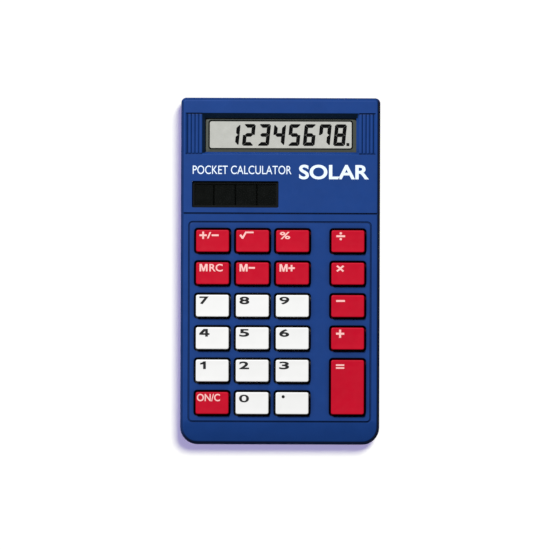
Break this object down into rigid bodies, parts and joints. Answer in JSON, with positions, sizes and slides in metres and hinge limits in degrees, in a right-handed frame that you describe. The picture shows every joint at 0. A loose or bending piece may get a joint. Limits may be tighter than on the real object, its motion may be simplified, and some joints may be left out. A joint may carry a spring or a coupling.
{
  "type": "pocket calculator",
  "caption": "Light-powered pocket calculator with a seven-segment display in a bevelled recess, grip panels, a solar panel and sprung red and white keys.",
  "frame": {"origin": "centre of the flat back, on the surface that the calculator lies on", "axes": "+Z out of the face towards the user, +Y along the length towards the display end, +X to the user's right"},
  "size_m": [0.068, 0.1186, 0.0101],
  "materials": {
    "case_plastic": "fine moulded grain, satin",
    "red_key_plastic": "satin",
    "white_key_plastic": "satin",
    "lens_plastic": "clear, polished, with a printed grey-green border",
    "window_plastic": "clear, polished",
    "display_glass": "clear, polished",
    "polarizer_film": "smooth film",
    "reflector_film": "silvered film",
    "cell_glass": "dark amorphous silicon on glass",
    "black_plastic": "satin",
    "black_rubber": "matte",
    "mat_silicone": "matte, slightly translucent",
    "board_laminate": "phenolic laminate with solder mask",
    "black_epoxy": "glossy blob",
    "capacitor_sleeve": "shrunk sleeve",
    "capacitor_ceramic": "fired",
    "diode_glass": "clear glass body",
    "red_insulation": "extruded",
    "black_insulation": "extruded",
    "screw_steel": "zinc plated"
  },
  "bodies": {
    "case": {"front_housing": "case_plastic", "rear_housing": "case_plastic", "case_screws": "screw_steel", "display_lens": "lens_plastic", "lcd_front_polarizer": "polarizer_film", "lcd_front_glass": "display_glass", "lcd_rear_glass": "display_glass", "lcd_reflector": "reflector_film", "lcd_frame": "black_plastic", "zebra_strip": "black_rubber", "solar_window": "window_plastic", "solar_cell": "cell_glass", "solar_lead_red": "red_insulation", "solar_lead_black": "black_insulation", "circuit_board": "board_laminate", "chip_cover": "black_epoxy", "storage_capacitor": "capacitor_sleeve", "ceramic_capacitors": "capacitor_ceramic", "clamp_diode": "diode_glass", "board_screws": "screw_steel", "key_mat": "mat_silicone", "contact_pills": "black_rubber"},
    "key_sign": {"key_sign": "red_key_plastic"},
    "key_root": {"key_root": "red_key_plastic"},
    "key_percent": {"key_percent": "red_key_plastic"},
    "key_divide": {"key_divide": "red_key_plastic"},
    "key_mrc": {"key_mrc": "red_key_plastic"},
    "key_m_minus": {"key_m_minus": "red_key_plastic"},
    "key_m_plus": {"key_m_plus": "red_key_plastic"},
    "key_multiply": {"key_multiply": "red_key_plastic"},
    "key_7": {"key_7": "white_key_plastic"},
    "key_8": {"key_8": "white_key_plastic"},
    "key_9": {"key_9": "white_key_plastic"},
    "key_minus": {"key_minus": "red_key_plastic"},
    "key_4": {"key_4": "white_key_plastic"},
    "key_5": {"key_5": "white_key_plastic"},
    "key_6": {"key_6": "white_key_plastic"},
    "key_plus": {"key_plus": "red_key_plastic"},
    "key_1": {"key_1": "white_key_plastic"},
    "key_2": {"key_2": "white_key_plastic"},
    "key_3": {"key_3": "white_key_plastic"},
    "key_equals": {"key_equals": "red_key_plastic"},
    "key_on_clear": {"key_on_clear": "red_key_plastic"},
    "key_0": {"key_0": "white_key_plastic"},
    "key_decimal": {"key_decimal": "white_key_plastic"}
  },
  "joints": [
    {"name": "key_sign_press", "type": "slide", "parent": "case", "child": "key_sign", "axis": [0, 0, -1], "range_m": [0, 0.0008], "stiffness_N_per_m": 1200, "deforming": ["key_mat", "contact_pills"]},
    {"name": "key_root_press", "type": "slide", "parent": "case", "child": "key_root", "axis": [0, 0, -1], "range_m": [0, 0.0008], "stiffness_N_per_m": 1200, "deforming": ["key_mat", "contact_pills"]},
    {"name": "key_percent_press", "type": "slide", "parent": "case", "child": "key_percent", "axis": [0, 0, -1], "range_m": [0, 0.0008], "stiffness_N_per_m": 1200, "deforming": ["key_mat", "contact_pills"]},
    {"name": "key_divide_press", "type": "slide", "parent": "case", "child": "key_divide", "axis": [0, 0, -1], "range_m": [0, 0.0008], "stiffness_N_per_m": 1200, "deforming": ["key_mat", "contact_pills"]},
    {"name": "key_mrc_press", "type": "slide", "parent": "case", "child": "key_mrc", "axis": [0, 0, -1], "range_m": [0, 0.0008], "stiffness_N_per_m": 1200, "deforming": ["key_mat", "contact_pills"]},
    {"name": "key_m_minus_press", "type": "slide", "parent": "case", "child": "key_m_minus", "axis": [0, 0, -1], "range_m": [0, 0.0008], "stiffness_N_per_m": 1200, "deforming": ["key_mat", "contact_pills"]},
    {"name": "key_m_plus_press", "type": "slide", "parent": "case", "child": "key_m_plus", "axis": [0, 0, -1], "range_m": [0, 0.0008], "stiffness_N_per_m": 1200, "deforming": ["key_mat", "contact_pills"]},
    {"name": "key_multiply_press", "type": "slide", "parent": "case", "child": "key_multiply", "axis": [0, 0, -1], "range_m": [0, 0.0008], "stiffness_N_per_m": 1200, "deforming": ["key_mat", "contact_pills"]},
    {"name": "key_7_press", "type": "slide", "parent": "case", "child": "key_7", "axis": [0, 0, -1], "range_m": [0, 0.0008], "stiffness_N_per_m": 1200, "deforming": ["key_mat", "contact_pills"]},
    {"name": "key_8_press", "type": "slide", "parent": "case", "child": "key_8", "axis": [0, 0, -1], "range_m": [0, 0.0008], "stiffness_N_per_m": 1200, "deforming": ["key_mat", "contact_pills"]},
    {"name": "key_9_press", "type": "slide", "parent": "case", "child": "key_9", "axis": [0, 0, -1], "range_m": [0, 0.0008], "stiffness_N_per_m": 1200, "deforming": ["key_mat", "contact_pills"]},
    {"name": "key_minus_press", "type": "slide", "parent": "case", "child": "key_minus", "axis": [0, 0, -1], "range_m": [0, 0.0008], "stiffness_N_per_m": 1200, "deforming": ["key_mat", "contact_pills"]},
    {"name": "key_4_press", "type": "slide", "parent": "case", "child": "key_4", "axis": [0, 0, -1], "range_m": [0, 0.0008], "stiffness_N_per_m": 1200, "deforming": ["key_mat", "contact_pills"]},
    {"name": "key_5_press", "type": "slide", "parent": "case", "child": "key_5", "axis": [0, 0, -1], "range_m": [0, 0.0008], "stiffness_N_per_m": 1200, "deforming": ["key_mat", "contact_pills"]},
    {"name": "key_6_press", "type": "slide", "parent": "case", "child": "key_6", "axis": [0, 0, -1], "range_m": [0, 0.0008], "stiffness_N_per_m": 1200, "deforming": ["key_mat", "contact_pills"]},
    {"name": "key_plus_press", "type": "slide", "parent": "case", "child": "key_plus", "axis": [0, 0, -1], "range_m": [0, 0.0008], "stiffness_N_per_m": 1200, "deforming": ["key_mat", "contact_pills"]},
    {"name": "key_1_press", "type": "slide", "parent": "case", "child": "key_1", "axis": [0, 0, -1], "range_m": [0, 0.0008], "stiffness_N_per_m": 1200, "deforming": ["key_mat", "contact_pills"]},
    {"name": "key_2_press", "type": "slide", "parent": "case", "child": "key_2", "axis": [0, 0, -1], "range_m": [0, 0.0008], "stiffness_N_per_m": 1200, "deforming": ["key_mat", "contact_pills"]},
    {"name": "key_3_press", "type": "slide", "parent": "case", "child": "key_3", "axis": [0, 0, -1], "range_m": [0, 0.0008], "stiffness_N_per_m": 1200, "deforming": ["key_mat", "contact_pills"]},
    {"name": "key_equals_press", "type": "slide", "parent": "case", "child": "key_equals", "axis": [0, 0, -1], "range_m": [0, 0.0008], "stiffness_N_per_m": 1200, "deforming": ["key_mat", "contact_pills"]},
    {"name": "key_on_clear_press", "type": "slide", "parent": "case", "child": "key_on_clear", "axis": [0, 0, -1], "range_m": [0, 0.0008], "stiffness_N_per_m": 1200, "deforming": ["key_mat", "contact_pills"]},
    {"name": "key_0_press", "type": "slide", "parent": "case", "child": "key_0", "axis": [0, 0, -1], "range_m": [0, 0.0008], "stiffness_N_per_m": 1200, "deforming": ["key_mat", "contact_pills"]},
    {"name": "key_decimal_press", "type": "slide", "parent": "case", "child": "key_decimal", "axis": [0, 0, -1], "range_m": [0, 0.0008], "stiffness_N_per_m": 1200, "deforming": ["key_mat", "contact_pills"]}
  ]
}
